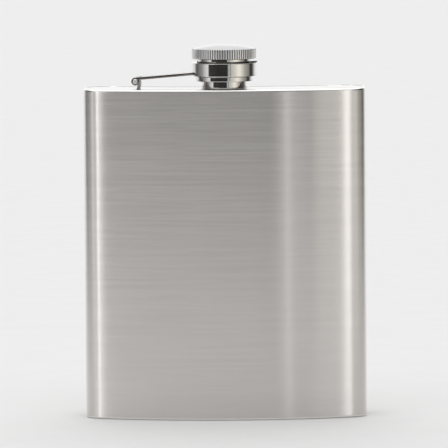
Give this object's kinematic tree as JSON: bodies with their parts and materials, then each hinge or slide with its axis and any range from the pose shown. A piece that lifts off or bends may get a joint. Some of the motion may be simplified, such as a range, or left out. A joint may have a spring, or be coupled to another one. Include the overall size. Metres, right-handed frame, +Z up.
{
  "type": "hip flask",
  "caption": "Curved stainless steel hip flask with a knurled screw cap held captive in a swivel collar on a hinged strap.",
  "frame": {"origin": "on the floor, under the middle of the object's bounding box", "axes": "+Z up along the neck, the convex front faces -Y, the hinge of the arm is on the -X side"},
  "size_m": [0.094, 0.0284, 0.1248],
  "materials": {
    "brushed_body": "brushed along its width",
    "brushed_plate": "brushed",
    "weld_bead": "ground and buffed",
    "polished_steel": "polished",
    "satin_steel": "satin",
    "hinge_steel": "bright rolled",
    "pin_steel": "peened",
    "seal_rubber": "smooth silicone",
    "liner_plastic": "matte"
  },
  "bodies": {
    "flask": {"body_shell": "brushed_body", "shell_seam": "weld_bead", "top_plate": "brushed_plate", "base_plate": "brushed_plate", "top_weld": "weld_bead", "base_weld": "weld_bead", "neck": "polished_steel", "neck_weld": "weld_bead", "hinge_bracket": "hinge_steel", "bracket_weld": "weld_bead", "hinge_pin": "pin_steel"},
    "arm": {"arm_strap": "hinge_steel", "swivel_collar": "polished_steel", "collar_braze": "weld_bead", "retaining_clip": "hinge_steel"},
    "seal": {"cap_gasket": "seal_rubber", "cap_liner": "liner_plastic"},
    "cap": {"cap_core": "polished_steel", "retaining_ring": "polished_steel", "cap_head": "satin_steel"}
  },
  "joints": [
    {"name": "arm_swing", "type": "hinge", "parent": "flask", "child": "arm", "pos_m": [-0.0295, -0.0032, 0.1126], "axis": [0, -1, 0], "range_deg": [0, 175]},
    {"name": "cap_lift", "type": "slide", "parent": "arm", "child": "seal", "axis": [0, 0, 1], "range_m": [0, 0.00191]},
    {"name": "cap_turn", "type": "hinge", "parent": "seal", "child": "cap", "pos_m": [0, -0.0032, 0.115], "axis": [0, 0, 1], "range_deg": [0, 540]}
  ],
  "couplings": [
    {"joint": "cap_lift", "follows": "cap_turn", "m_per_rad": 0.00020213}
  ]
}
